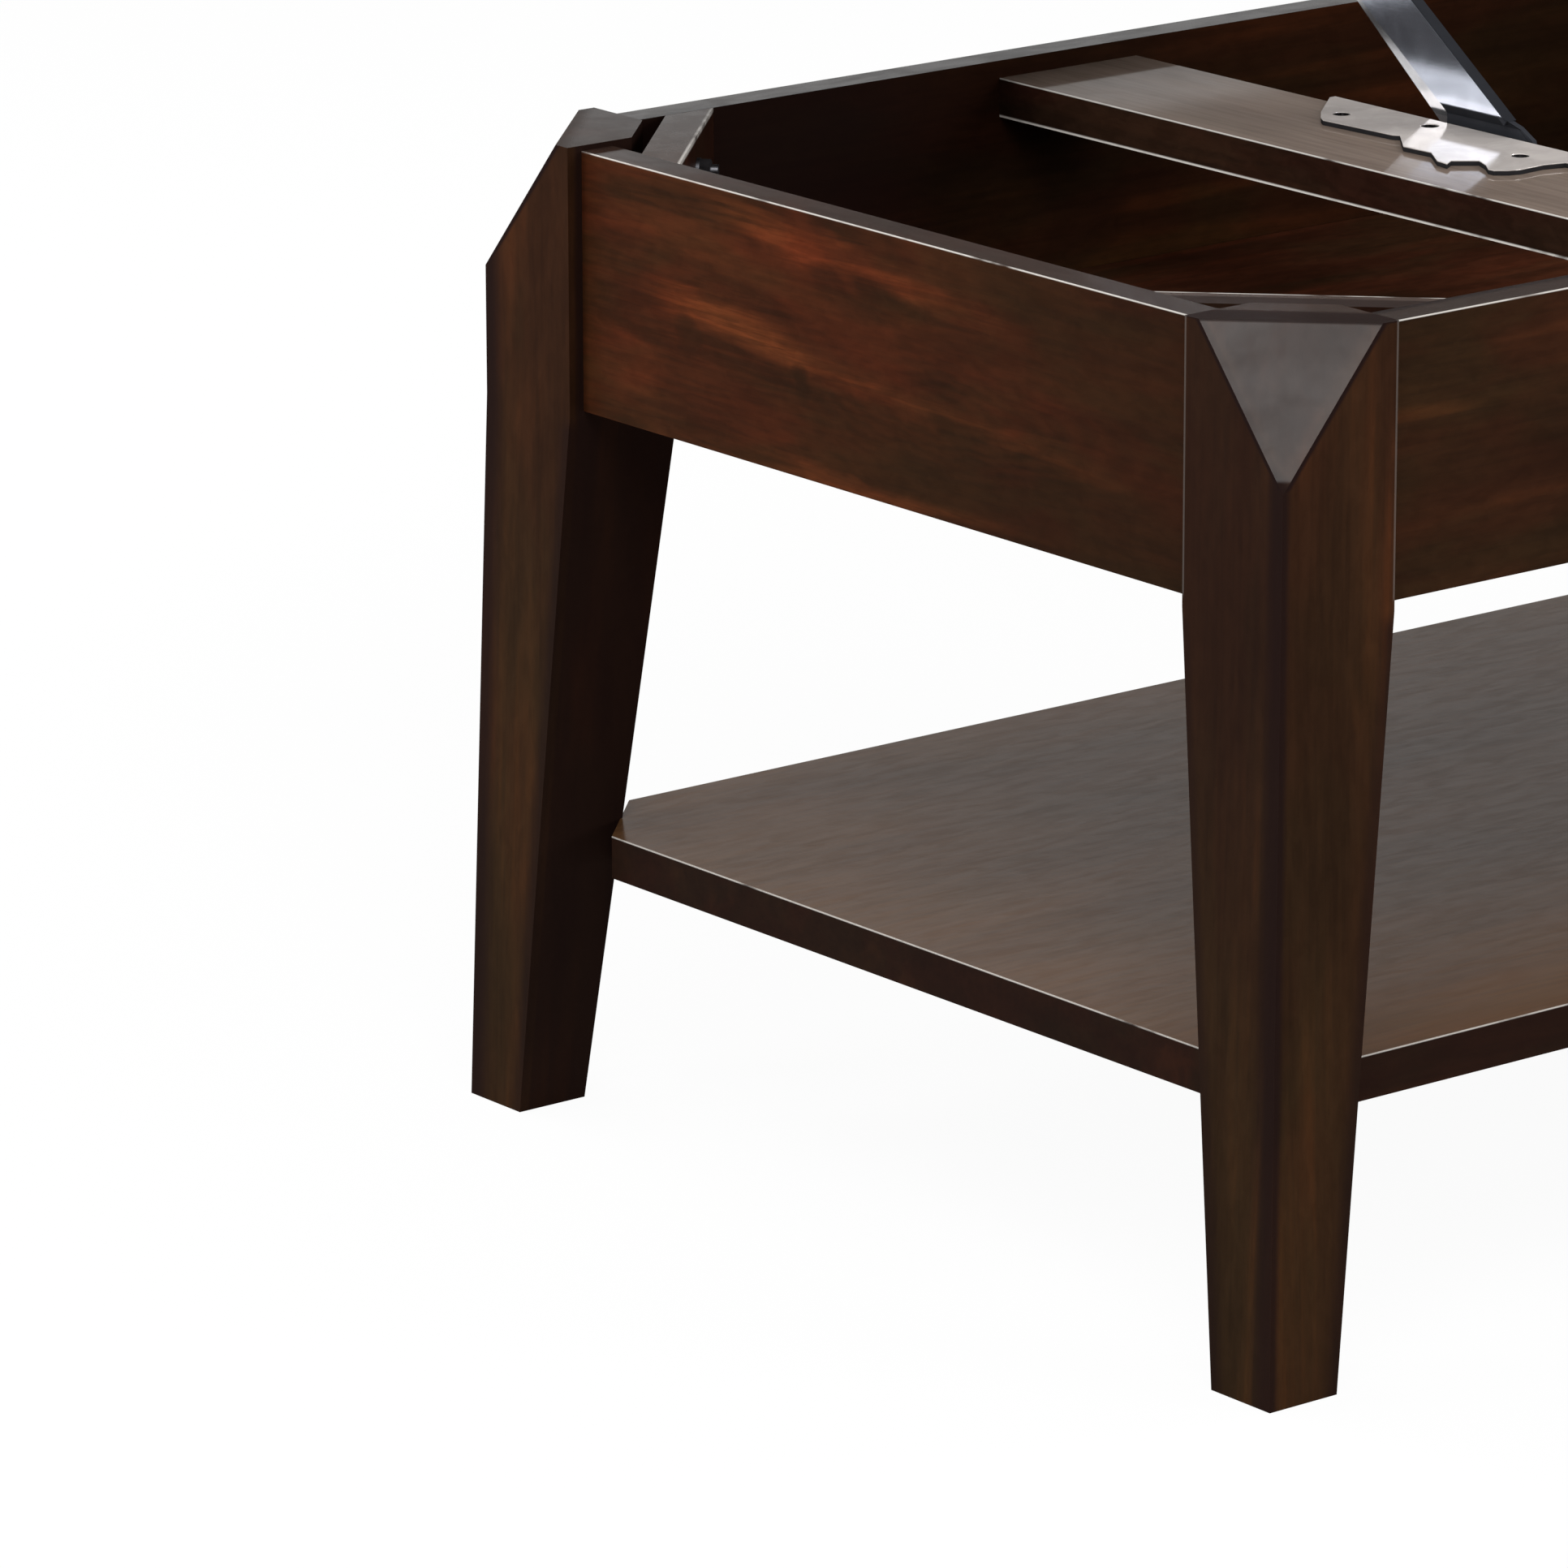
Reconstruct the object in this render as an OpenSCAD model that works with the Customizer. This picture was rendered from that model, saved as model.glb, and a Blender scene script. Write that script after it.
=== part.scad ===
// Lift-top coffee table, modelled with its top raised.
// Millimetres. +Z is up, X runs along the table and the sitter is on the -Y side.

/* [Table] */
// Length over the legs
table_l = 1120; // [1000:10:1300]
// Width over the legs
table_w = 560; // [520:5:620]
// Height of the leg tops above the floor
leg_h = 470; // [440:5:500]
// Kick of the foot outside the plumb upper leg
foot_kick = 8; // [0:0.5:12]

/* [Legs] */
// Width of the square upper leg
leg_w = 64; // [60:1:72]
// Width of the square foot
foot_w = 38.5; // [32:0.5:46]
// Width of the facet across each leg face, at the leg's top
facet_w = 55; // [44:1:58]
// Height of the facet on the leg's outer edge
facet_h = 66; // [40:1:90]
// Width cut off the leg's inner corner behind the aprons
inner_cut = 27; // [20:1:34]

/* [Aprons] */
// Height of the aprons
apron_h = 122.5; // [115:0.5:140]
// Thickness of the aprons
apron_t = 18; // [16:1:22]
// Set-back of the aprons from the leg faces
apron_set = 8; // [4:0.5:12]
// Drop of the apron tops below the leg tops
apron_drop = 2.5; // [1:0.5:4]
// Thickness of a corner brace
brace_t = 20; // [16:1:24]
// Height of a corner brace
brace_h = 95; // [80:1:100]
// Gap between a leg's inner cut and its corner brace, measured along an apron
brace_gap = 11; // [6:1:20]
// Distance of a hanger bolt from the upper or lower edge of its brace
bolt_in = 16.5; // [12:0.5:30]
// Distance between the two screws at each end of a brace
brace_screw_step = 35; // [20:1:50]

/* [Compartment] */
// Thickness of the bottom panel
bottom_t = 6; // [4:0.5:9]
// Height of the bottom panel above the aprons' lower edge
bottom_up = 7; // [5:0.5:12]
// Depth of the groove that holds the bottom panel
groove_d = 6; // [4:0.5:8]
// Distance from the leg faces to the near edge of a cross rail
rail_in = 288; // [270:1:320]
// Width of a cross rail
rail_w = 86; // [80:1:100]
// Thickness of a cross rail
rail_t = 19; // [16:0.5:24]
// Drop of the rail tops below the apron tops
rail_drop = 8.5; // [7:0.5:12]

/* [Shelf] */
// Height of the shelf's upper face above the floor
shelf_z = 138.5; // [120:0.5:170]
// Thickness of the shelf
shelf_t = 20.5; // [18:0.5:26]
// Set-back of the shelf's edges from the leg faces
shelf_set = 21.5; // [16:0.5:26]
// Depth of the seat that a clipped shelf corner has in a leg's inner arris
shelf_seat = 1; // [0.6:0.1:2]

/* [Top] */
// Thickness of the top
top_t = 25; // [20:1:30]
// Overhang of the top beyond the leg faces
top_over = 0; // [0:1:10]
// Thickness of a bumper under the top
bumper_t = 1.7; // [1.2:0.1:2]
// Diameter of a bumper under the top
bumper_d = 12; // [8:1:14]

/* [Lift mechanism] */
// Distance between the two pivots of a lift arm
link_l = 221; // [200:1:222]
// Lean of the raised arms above the horizontal
open_deg = 39; // [36:0.5:42]
// Height of the rear arm's lower pivot above the rail's upper face
rear_pivot_drop = 31; // [30:0.5:33]
// Half of the distance between the two lower pivots along the table's width
pivot_half = 18; // [17:0.5:20]
// Height of the front pivot above the rear one
pivot_rise = 20; // [19:0.5:21]
// Distance from the rear arm's upper pivot to the underside of the top
bracket_drop = 36; // [34:0.5:40]
// Thickness of the base plates and top brackets
plate_t = 2.5; // [2:0.1:3]
// Thickness of the lift arms
arm_t = 2.5; // [2:0.1:3]
// Width of the rear arm
rear_arm_w = 25; // [22:1:26]
// Width of the front arm
front_arm_w = 22; // [18:1:22]
// Diameter of the pivots
pivot_d = 8; // [7:0.5:8]
// Diameter of the spring wire
wire_d = 2.8; // [2:0.1:3]
// Mean radius of the spring's coils
coil_r = 9; // [8:0.5:9.5]

/* [Fasteners] */
// Diameter of the hanger bolts
bolt_d = 6; // [5:1:8]
// Diameter of the wood screws
screw_d = 4; // [3.5:0.5:5]
// Diameter of the dowels
dowel_d = 8; // [6:1:10]
// Diameter of the shelf pins
shelf_pin_d = 6; // [5:0.5:8]
// Head diameter of the plate and bracket screws
screw_head_d = 9; // [8:0.5:10]

/* [Hidden] */
$fn = 48;

// Gap between fitted wooden pieces
fit_gap = 0.1;
// Radial clearance of a pivot in a lift arm
run_gap = 0.05;
// Gap between a piece and the seat that it rests on
seat_gap = 0.3;
// Overrun of a cut past the face it opens
over = 1;

// Heights
apron_top = leg_h - apron_drop;
apron_z = apron_top - apron_h;
taper_z = apron_z - 2;
rail_top = apron_top - rail_drop;
bottom_z = apron_z + bottom_up;
top_gap = bumper_t + seat_gap;
closed_z = leg_h + top_gap;
inner_face = apron_set + apron_t;

// Pivots of the right-hand mechanism as [towards the sitter, up], the arms raised
rear_low = [-pivot_half, rail_top - rear_pivot_drop];
front_low = [pivot_half, rear_low[1] + pivot_rise];
link = link_l * [cos(open_deg), sin(open_deg)];
rear_high = rear_low + link;
front_high = front_low + link;
rear_high_closed_z = closed_z - bracket_drop;
closed_deg = 180 - asin((rear_high_closed_z - rear_low[1]) / link_l);
swing_deg = closed_deg - open_deg;
travel_y = link_l * (cos(open_deg) - cos(closed_deg));
lift_z = rear_high[1] - rear_high_closed_z;
top_z = closed_z + lift_z;

// The origin is under the middle of the whole table with its top raised
base_y = (travel_y + top_over - foot_kick) / 2;
echo(base_y = base_y, travel_y = travel_y, lift_z = lift_z, swing_deg = swing_deg, top_z = top_z);
echo(rear_low = rear_low, front_low = front_low, rear_high = rear_high);

// Layers of the mechanism, measured inwards from the rail's inner face
rail_face = table_l / 2 - rail_in - rail_w;
strip_d = plate_t + 0.5;
foot_d = strip_d + arm_t + 1.5;
front_d = foot_d + arm_t + 2.5;
coil_near_d = front_d + arm_t + 2;
coil_turns = 3;
coil_pitch = wire_d + 0.8;

walnut = "#3a2114";
board = "#2b1a12";
steel = "#9aa0a6";
black_zinc = "#1c1c1e";
zinc = "#b8bcc0";
beech = "#b58a5a";
rubber = "#202020";

// Width of the leg's inner faces and place of its outer faces at a height below the taper
function below(z) = (taper_z - z) / taper_z;
function leg_inner(z) = leg_w + (foot_w - foot_kick - leg_w) * below(z);
function leg_outer(z) = -foot_kick * below(z);

module flip_x(on) { if (on) mirror([1, 0, 0]) children(); else children(); }
module flip_y(on) { if (on) mirror([0, 1, 0]) children(); else children(); }

// Local X and Y run inwards from the leg's outer corner
module at_corner(sx, sy) {
    translate([sx * table_l / 2, base_y + sy * table_w / 2, 0])
        flip_x(sx > 0) flip_y(sy > 0) children();
}

module each_corner() {
    for (sx = [-1, 1], sy = [-1, 1]) at_corner(sx, sy) children();
}

// Local X runs towards the sitter, Y up and Z inwards from the rail's inner face
module mechanism(side) {
    flip_x(side < 0) translate([rail_face, base_y, 0]) rotate([90, 0, -90]) children();
}

module both_sides() {
    for (side = [-1, 1]) mechanism(side) children();
}

// A cylinder along the mechanism's inward axis
module pin(at, from, to, r) {
    translate([at[0], at[1], from]) cylinder(h = to - from, r = r);
}

// A plate lying flat, its outline as [towards the sitter, inwards], its upper face at z
module flat_plate(z, t) {
    translate([0, z, 0]) rotate([90, 0, 0]) linear_extrude(t) children();
}

// Legs
bolt_z = [apron_top - bolt_in, apron_top - brace_h + bolt_in];
cut_sum = 2 * leg_w - inner_cut;
brace_sum = cut_sum + brace_gap;

module leg_profile() {
    polygon([
        [0, leg_h], [0, taper_z], [leg_outer(0), 0],
        [leg_inner(0), 0], [leg_w, taper_z], [leg_w, leg_h]
    ]);
}

// Places its children along the leg's diagonal, with local Z pointing inwards
module diagonal(z, from) {
    rotate([0, 0, 45]) translate([from, 0, z]) rotate([0, 90, 0]) children();
}

module leg(sx, sy) {
    reach = 2 * leg_w;
    slope = facet_h / (facet_w / sqrt(2));
    color(walnut) at_corner(sx, sy) difference() {
        intersection() {
            translate([0, reach, 0]) rotate([90, 0, 0]) linear_extrude(2 * reach) leg_profile();
            translate([-reach, 0, 0]) rotate([90, 0, 90]) linear_extrude(2 * reach) leg_profile();
        }
        rotate([0, 0, 45]) translate([0, reach, 0]) rotate([90, 0, 0]) linear_extrude(2 * reach)
            polygon([
                [-leg_w, leg_h - facet_h - leg_w * slope],
                [facet_w / sqrt(2) + over, leg_h + over * slope],
                [-leg_w, leg_h + over * slope]
            ]);
        translate([0, 0, apron_z]) linear_extrude(apron_h + apron_drop + over)
            polygon([
                [leg_w + over, leg_w - inner_cut - over], [leg_w + over, leg_w + over],
                [leg_w - inner_cut - over, leg_w + over]
            ]);
        translate([0, 0, shelf_z - shelf_t - fit_gap]) linear_extrude(shelf_t + 2 * fit_gap)
            shelf_corner(fit_gap);
        for (z = bolt_z) diagonal(z, bolt_from - fit_gap) cylinder(h = leg_w, r = bolt_d / 2 + fit_gap);
        shelf_pin_hole();
    }
}

// Aprons
dowel_l = 40;
dowel_in = 13;
dowel_x = [-rail_w / 2 + 18, rail_w / 2 - 18];
dowel_z = rail_top - rail_t / 2;
brace_screw_z = [for (up = [1, -1]) apron_top - (brace_h - up * brace_screw_step) / 2];
brace_screw_at = brace_sum - inner_face + 8;
screw_bite = 13;

module groove(length) {
    translate([-over, inner_face - apron_set - groove_d, bottom_up - fit_gap])
        cube([length + 2 * over, groove_d + over, bottom_t + 2 * fit_gap]);
}

// Pilot holes for the brace screws, from the corner at the board's local start
module brace_pilots(from_leg) {
    for (z = brace_screw_z)
        translate([brace_screw_at - from_leg, apron_t + over, z - apron_z])
            rotate([90, 0, 0]) cylinder(h = screw_bite + over + fit_gap, r = screw_d / 2 + fit_gap);
}

// A board lying along X from the leg at its local start, with its inner face towards +Y
module apron_board(length) {
    difference() {
        cube([length, apron_t, apron_h]);
        groove(length);
        brace_pilots(leg_w);
        translate([length, 0, 0]) mirror([1, 0, 0]) brace_pilots(leg_w);
        children();
    }
}

module long_apron(sy) {
    length = table_l - 2 * leg_w;
    color(walnut) translate([-length / 2, base_y + sy * (table_w / 2 - apron_set), apron_z])
        flip_y(sy > 0) apron_board(length)
            for (side = [-1, 1], x = dowel_x)
                translate([length / 2 + side * (rail_face + rail_w / 2) + x, apron_t + over, dowel_z - apron_z])
                    rotate([90, 0, 0]) cylinder(h = dowel_in + over + fit_gap, r = dowel_d / 2 + fit_gap);
}

module end_apron(sx) {
    length = table_w - 2 * leg_w;
    color(walnut) translate([sx * (table_l / 2 - apron_set), base_y, apron_z])
        flip_x(sx > 0) translate([0, length / 2, 0]) rotate([0, 0, -90]) apron_board(length);
}

// Corner braces
bolt_from = cut_sum / sqrt(2) - 27;
bolt_to = brace_sum / sqrt(2) + brace_t + 10;
counterbore = 8;

// Places its children at a brace screw, with local Z pointing into the apron
module each_brace_screw() {
    for (swap = [false, true], z = brace_screw_z)
        if (swap) rotate([0, 0, 90]) mirror([0, 1, 0]) brace_screw_place(z) children();
        else brace_screw_place(z) children();
}

module brace_screw_place(z) {
    depth = brace_sum + brace_t * sqrt(2) - brace_screw_at;
    translate([brace_screw_at, depth - counterbore, z]) rotate([90, 0, 0]) children();
}

module corner_brace(sx, sy) {
    thick = brace_t * sqrt(2);
    near = brace_sum - inner_face;
    color(board) at_corner(sx, sy) difference() {
        translate([0, 0, apron_top - brace_h]) linear_extrude(brace_h)
            polygon([
                [near, inner_face], [near + thick, inner_face],
                [inner_face, near + thick], [inner_face, near]
            ]);
        for (z = bolt_z) diagonal(z, brace_sum / sqrt(2) - over)
            cylinder(h = brace_t + 2 * over, r = bolt_d / 2 + 0.5);
        each_brace_screw() {
            cylinder(h = leg_w, r = screw_d / 2 + fit_gap);
            translate([0, 0, -leg_w]) cylinder(h = leg_w + fit_gap, r = screw_d + 0.5);
        }
    }
}

module brace_screws() {
    depth = brace_sum + brace_t * sqrt(2) - brace_screw_at - counterbore;
    head = 2.4;
    color(zinc) each_corner() each_brace_screw() {
        translate([0, 0, -head]) cylinder(h = head, r = screw_d);
        cylinder(h = depth - inner_face + screw_bite, r = screw_d / 2);
    }
}

washer_t = 1.6;
nut_h = 5;

module hanger_bolts() {
    color(zinc) each_corner() for (z = bolt_z) diagonal(z, bolt_from)
        cylinder(h = bolt_to - bolt_from, r = bolt_d / 2);
}

module hanger_washers() {
    color(zinc) each_corner() for (z = bolt_z) diagonal(z, brace_sum / sqrt(2) + brace_t) difference() {
        cylinder(h = washer_t, r = bolt_d);
        translate([0, 0, -over]) cylinder(h = washer_t + 2 * over, r = bolt_d / 2 + fit_gap);
    }
}

module hanger_nuts() {
    color(zinc) each_corner() for (z = bolt_z)
        diagonal(z, brace_sum / sqrt(2) + brace_t + washer_t) difference() {
            cylinder(h = nut_h, r = 0.92 * bolt_d, $fn = 6);
            translate([0, 0, -over]) cylinder(h = nut_h + 2 * over, r = bolt_d / 2 + run_gap);
        }
}

// Compartment
module bottom_panel() {
    edge = inner_face - groove_d + fit_gap;
    l = table_l / 2;
    w = table_w / 2;
    face = leg_w + fit_gap;
    skew = leg_w - inner_cut + fit_gap;
    color(board) translate([0, base_y, bottom_z]) linear_extrude(bottom_t)
        polygon([
            for (quarter = [[1, 1], [-1, 1], [-1, -1], [1, -1]])
                for (corner = quarter[0] * quarter[1] > 0
                        ? [[edge, face], [skew, face], [face, skew], [face, edge]]
                        : [[face, edge], [face, skew], [skew, face], [edge, face]])
                    [quarter[0] * (l - corner[0]), quarter[1] * (w - corner[1])]
        ]);
}

plate_screw_l = 17;
// Screw places on a base plate as [towards the sitter, out over the rail]
plate_holes = [[80, 22], [34, 8], [-41, 20]];

module cross_rail(side) {
    length = table_w - 2 * inner_face;
    middle = rail_face + rail_w / 2;
    color(walnut) difference() {
        translate([side * middle - rail_w / 2, base_y - length / 2, rail_top - rail_t])
            cube([rail_w, length, rail_t]);
        for (end = [-1, 1], x = dowel_x)
            translate([side * middle + x, base_y + end * (length / 2 + over), dowel_z])
                rotate([end * 90, 0, 0])
                    cylinder(h = dowel_l - dowel_in + over + fit_gap, r = dowel_d / 2 + fit_gap);
        mechanism(side) for (h = plate_holes) plate_screw_place(h)
            cylinder(h = plate_screw_l + fit_gap, r = screw_d / 2 + fit_gap);
    }
}

module rail_dowels() {
    length = table_w - 2 * inner_face;
    color(beech) for (side = [-1, 1], end = [-1, 1], x = dowel_x)
        translate([side * (rail_face + rail_w / 2) + x, base_y + end * (length / 2 + dowel_in), dowel_z])
            rotate([end * 90, 0, 0]) cylinder(h = dowel_l, r = dowel_d / 2);
}

// Shelf
shelf_clip = leg_inner(shelf_z) * sqrt(2) - shelf_seat;

module shelf_corner(gap) {
    side = leg_w + shelf_set;
    intersection() {
        translate([shelf_set - gap, shelf_set - gap]) square(side);
        rotate(45) translate([shelf_clip - gap, -2 * side]) square(4 * side);
    }
}

module lower_shelf() {
    l = table_l / 2 - shelf_set;
    w = table_w / 2 - shelf_set;
    n = shelf_clip - shelf_set * sqrt(2);
    color(walnut) difference() {
        translate([0, base_y, shelf_z - shelf_t]) linear_extrude(shelf_t) difference() {
            square([2 * l, 2 * w], center = true);
            for (sx = [-1, 1], sy = [-1, 1]) translate([sx * l, sy * w])
                rotate(45) square(2 * n, center = true);
        }
        each_corner() shelf_pin_hole();
    }
}

// Steel pins that hold the shelf's corners in the legs
pin_from = shelf_clip - 18;
pin_l = 42;

module shelf_pin_hole() {
    diagonal(shelf_z - shelf_t / 2, pin_from - fit_gap)
        cylinder(h = pin_l + 2 * fit_gap, r = shelf_pin_d / 2 + fit_gap);
}

module shelf_pins() {
    color(zinc) each_corner() diagonal(shelf_z - shelf_t / 2, pin_from)
        cylinder(h = pin_l, r = shelf_pin_d / 2);
}

// Lift mechanism: stamped base plates
plate_top = rail_top + plate_t;
// Outline of the stamped plate on the rail as [towards the sitter, out over the rail]
plate_outline = [
    [112, 1], [90, 26], [80, 35], [75, 38], [30, 35], [27, 33], [8, 48], [-10, 47],
    [-25, 57], [-33, 58], [-29, 52], [-37, 42], [-46, 46], [-53, 51], [-57, 51], [-61, 46],
    [-63, 40], [-62, 25], [-65, 14], [-90, 13], [-112, 1]
];
plate_half = 112;
lug_r = 13;

// Places its children at a base-plate screw, with local Z pointing down into the rail
module plate_screw_place(h) {
    translate([h[0], rail_top, -h[1]]) rotate([90, 0, 0]) children();
}

module base_plate(side) {
    color(steel) mechanism(side) difference() {
        union() {
            flat_plate(plate_top, plate_t) polygon(concat(
                [[-plate_half, plate_t], [plate_half, plate_t]],
                [for (p = plate_outline) [p[0], -p[1]]]
            ));
            linear_extrude(plate_t) hull() {
                translate([-plate_half, plate_top - 10]) square([2 * plate_half, 10]);
                translate(rear_low) circle(lug_r);
                translate(front_low) circle(lug_r);
            }
        }
        for (h = plate_holes) plate_screw_place(h) translate([0, 0, -plate_t - fit_gap])
            cylinder(h = plate_t + 2 * fit_gap, r1 = screw_head_d / 2 + fit_gap, r2 = screw_d / 2 + fit_gap);
        pin(rear_low, -over, plate_t + over, pivot_d / 2 + run_gap);
        pin(front_low, -over, plate_t + over, pivot_d / 2 + run_gap);
    }
}

module base_plate_screws() {
    color(black_zinc) both_sides() for (h = plate_holes) plate_screw_place(h) {
        translate([0, 0, -plate_t])
            cylinder(h = plate_t, r1 = screw_head_d / 2, r2 = screw_d / 2);
        cylinder(h = plate_screw_l, r = screw_d / 2);
    }
}

// The spring's hook in the front arm, its coil round the stud and its leg on the rear pivot
stop_gap = 0.3;
pivots_deg = atan2(pivot_rise, 2 * pivot_half);
pivots_l = norm([pivot_rise, 2 * pivot_half]);
hook_at = 30;
hook = front_low + hook_at * [cos(open_deg), sin(open_deg)];
hook_turn = acos(coil_r / hook_at);
rest_turn = asin((coil_r + pivot_d / 2 + wire_d / 2 + stop_gap) / pivots_l);
coil_start = open_deg - hook_turn;
coil_end = pivots_deg + 270 - rest_turn - 360 * (coil_turns + 1);
coil_run = coil_pitch * (coil_start - coil_end) / 360;
coil_steps = ceil((coil_start - coil_end) / 45);
rest_leg = 45;

// Pivots in the base plates
rivet_head_r = 7;
rivet_head_h = 1.4;
side_gap = 0.1;
collar_r = 8;
coil_far_d = coil_near_d + coil_run + wire_d;

// The rear pivot runs on past its arm and holds the spring's fixed leg
module rear_pivot_rivets() {
    color(zinc) both_sides() {
        pin(rear_low, -rivet_head_h, 0, rivet_head_r);
        pin(rear_low, 0, coil_far_d + 2, pivot_d / 2);
        pin(rear_low, plate_t, foot_d - side_gap, rivet_head_r);
        pin(rear_low, foot_d + arm_t + side_gap, foot_d + arm_t + side_gap + rivet_head_h, rivet_head_r);
    }
}

module front_pivot_studs() {
    color(zinc) both_sides() {
        pin(front_low, 0, coil_far_d + 1, pivot_d / 2);
        pin(front_low, front_d + arm_t + side_gap, front_d + arm_t + side_gap + rivet_head_h, rivet_head_r - 0.5);
        pin(front_low, coil_far_d + 1, coil_far_d + 1 + rivet_head_h, rivet_head_r);
    }
}

// The collar round the front stud is the stop that the rear arm's notch comes down on
module front_stud_collars() {
    color(zinc) both_sides() difference() {
        pin(front_low, plate_t, front_d - side_gap, collar_r);
        pin(front_low, plate_t - over, front_d + over, pivot_d / 2 + run_gap);
    }
}

// Arms
strip_deg = open_deg - 3.5;
bend_z = plate_top + 8.1;
bend_x = rear_high[0] - (rear_high[1] - bend_z) / tan(strip_deg);
bend_half = rear_arm_w / 2 / sin(strip_deg);
joggle_h = 4.6;
return_w = 4;
along_strip = [cos(strip_deg), sin(strip_deg)];

module rear_arm_outline() {
    left = [bend_x - bend_half, bend_z];
    right = [bend_x + bend_half, bend_z];
    across = rear_arm_w / 2 * [-along_strip[1], along_strip[0]];
    difference() {
        union() {
            polygon([left, right, rear_high - across, rear_high + across]);
            polygon([
                left, right, [right[0], front_low[1] + 9], front_low,
                rear_low + (pivots_l - collar_r - 2.2) * [cos(pivots_deg), sin(pivots_deg)],
                rear_low + lug_r * [cos(45), -sin(45)], rear_low - [lug_r, 0],
                [rear_low[0] - 2, bend_z - 8.6]
            ]);
            translate(rear_low) circle(lug_r);
            translate(rear_high) circle(rear_arm_w / 2);
        }
        translate(front_low) circle(collar_r + stop_gap);
    }
}

// The sheet as [up, inwards]: the foot is joggled inwards below the bend line
module rear_arm_sheet() {
    low = rear_low[1] - 2 * lug_r;
    high = rear_high[1] + 2 * lug_r;
    polygon([
        [low, foot_d], [bend_z - joggle_h, foot_d], [bend_z, strip_d], [high, strip_d],
        [high, strip_d + arm_t], [bend_z + 1, strip_d + arm_t],
        [bend_z + 1 - joggle_h, foot_d + arm_t], [low, foot_d + arm_t]
    ]);
}

module rear_arm(side) {
    start = -bend_half * cos(strip_deg) - 2;
    length = norm(rear_high - [bend_x, bend_z]) - start - 44;
    color(steel) mechanism(side) difference() {
        union() {
            intersection() {
                linear_extrude(foot_d + arm_t + over) rear_arm_outline();
                translate([-2 * link_l, 0, 0]) rotate([90, 0, 90]) linear_extrude(4 * link_l)
                    rear_arm_sheet();
            }
            translate([bend_x, bend_z, strip_d]) rotate([0, 0, strip_deg])
                translate([start, rear_arm_w / 2 - arm_t, 0]) cube([length, arm_t, arm_t + return_w]);
        }
        pin(rear_low, -over, foot_d + arm_t + over, pivot_d / 2 + run_gap);
        pin(rear_high, -over, foot_d + arm_t + over, pivot_d / 2 + run_gap);
    }
}

module front_arm(side) {
    color(steel) mechanism(side) difference() {
        translate([0, 0, front_d]) linear_extrude(arm_t) hull() {
            translate(front_low) circle(front_arm_w / 2);
            translate(front_high) circle(front_arm_w / 2);
        }
        pin(front_low, -over, front_d + arm_t + over, pivot_d / 2 + run_gap);
        pin(front_high, -over, front_d + arm_t + over, pivot_d / 2 + run_gap);
        pin(hook, -over, front_d + arm_t + over, wire_d / 2 + stop_gap);
    }
}

// Lift springs: one wire from a hook in the front arm, round the stud, to the rear pivot

function coil_point(k) =
    let (t = k / coil_steps, a = coil_start + (coil_end - coil_start) * t)
    [
        front_low[0] + coil_r * cos(a), front_low[1] + coil_r * sin(a),
        coil_near_d + wire_d / 2 + coil_run * t
    ];

wire_path = concat(
    [[hook[0], hook[1], front_d + stop_gap], [hook[0], hook[1], coil_near_d + wire_d / 2 - 1.2],
        [hook[0] - 1.2 * cos(open_deg), hook[1] - 1.2 * sin(open_deg), coil_near_d + wire_d / 2]],
    [for (k = [0:coil_steps]) coil_point(k)],
    [coil_point(coil_steps) + rest_leg * [cos(coil_end - 90), sin(coil_end - 90), 0]]
);

// Smallest gap between the spring's own curls
spring_gap = min([
    for (i = [0:len(wire_path) - 1], j = [i + 5:1:len(wire_path) - 1]) norm(wire_path[i] - wire_path[j])
]) - wire_d;
echo(spring_gap = spring_gap);

function unit(v) = v / norm(v);
function tangent(p, i) = unit(p[min(i + 1, len(p) - 1)] - p[max(i - 1, 0)]);
function square_to(u, t) = unit(u - (u * t) * t);

module wire(path, d) {
    sides = 6;
    n = len(path);
    first = square_to([1, 0.2, 0], tangent(path, 0));
    frames = [
        for (i = 0, u = first; i < n; i = i + 1, u = square_to(u, tangent(path, min(i, n - 1)))) u
    ];
    points = [
        for (i = [0:n - 1], k = [0:sides - 1])
            let (v = cross(tangent(path, i), frames[i]), a = 360 * k / sides)
            path[i] + d / 2 * (cos(a) * frames[i] + sin(a) * v)
    ];
    walls = [
        for (i = [0:n - 2], k = [0:sides - 1])
            let (m = (k + 1) % sides)
            [i * sides + k, (i + 1) * sides + k, (i + 1) * sides + m, i * sides + m]
    ];
    ends = [[for (k = [0:sides - 1]) k], [for (k = [sides - 1:-1:0]) (n - 1) * sides + k]];
    polyhedron(points = points, faces = concat(walls, ends));
}

module lift_spring(side) {
    color(steel) mechanism(side) wire(wire_path, wire_d);
}

// Top
module top_outline() {
    l = table_l / 2;
    w = table_w / 2;
    offset(delta = top_over) polygon([
        [l, w - facet_w], [l - facet_w, w], [facet_w - l, w], [-l, w - facet_w],
        [-l, facet_w - w], [facet_w - l, -w], [l - facet_w, -w], [l, facet_w - w]
    ]);
}

top_screw_bite = 16;
top_screw_out = 13;
top_screw_x = [6, 66, 126];

// Places its children at a bracket screw, with local Z pointing up into the top
module top_screw_place(x) {
    translate([rear_high[0] + x, top_z, -top_screw_out]) rotate([-90, 0, 0]) children();
}

module top_panel() {
    color(walnut) difference() {
        translate([0, base_y - travel_y, top_z]) linear_extrude(top_t) top_outline();
        both_sides() for (x = top_screw_x) top_screw_place(x) translate([0, 0, -over])
            cylinder(h = top_screw_bite + over + fit_gap, r = screw_d / 2 + fit_gap);
    }
}

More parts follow.
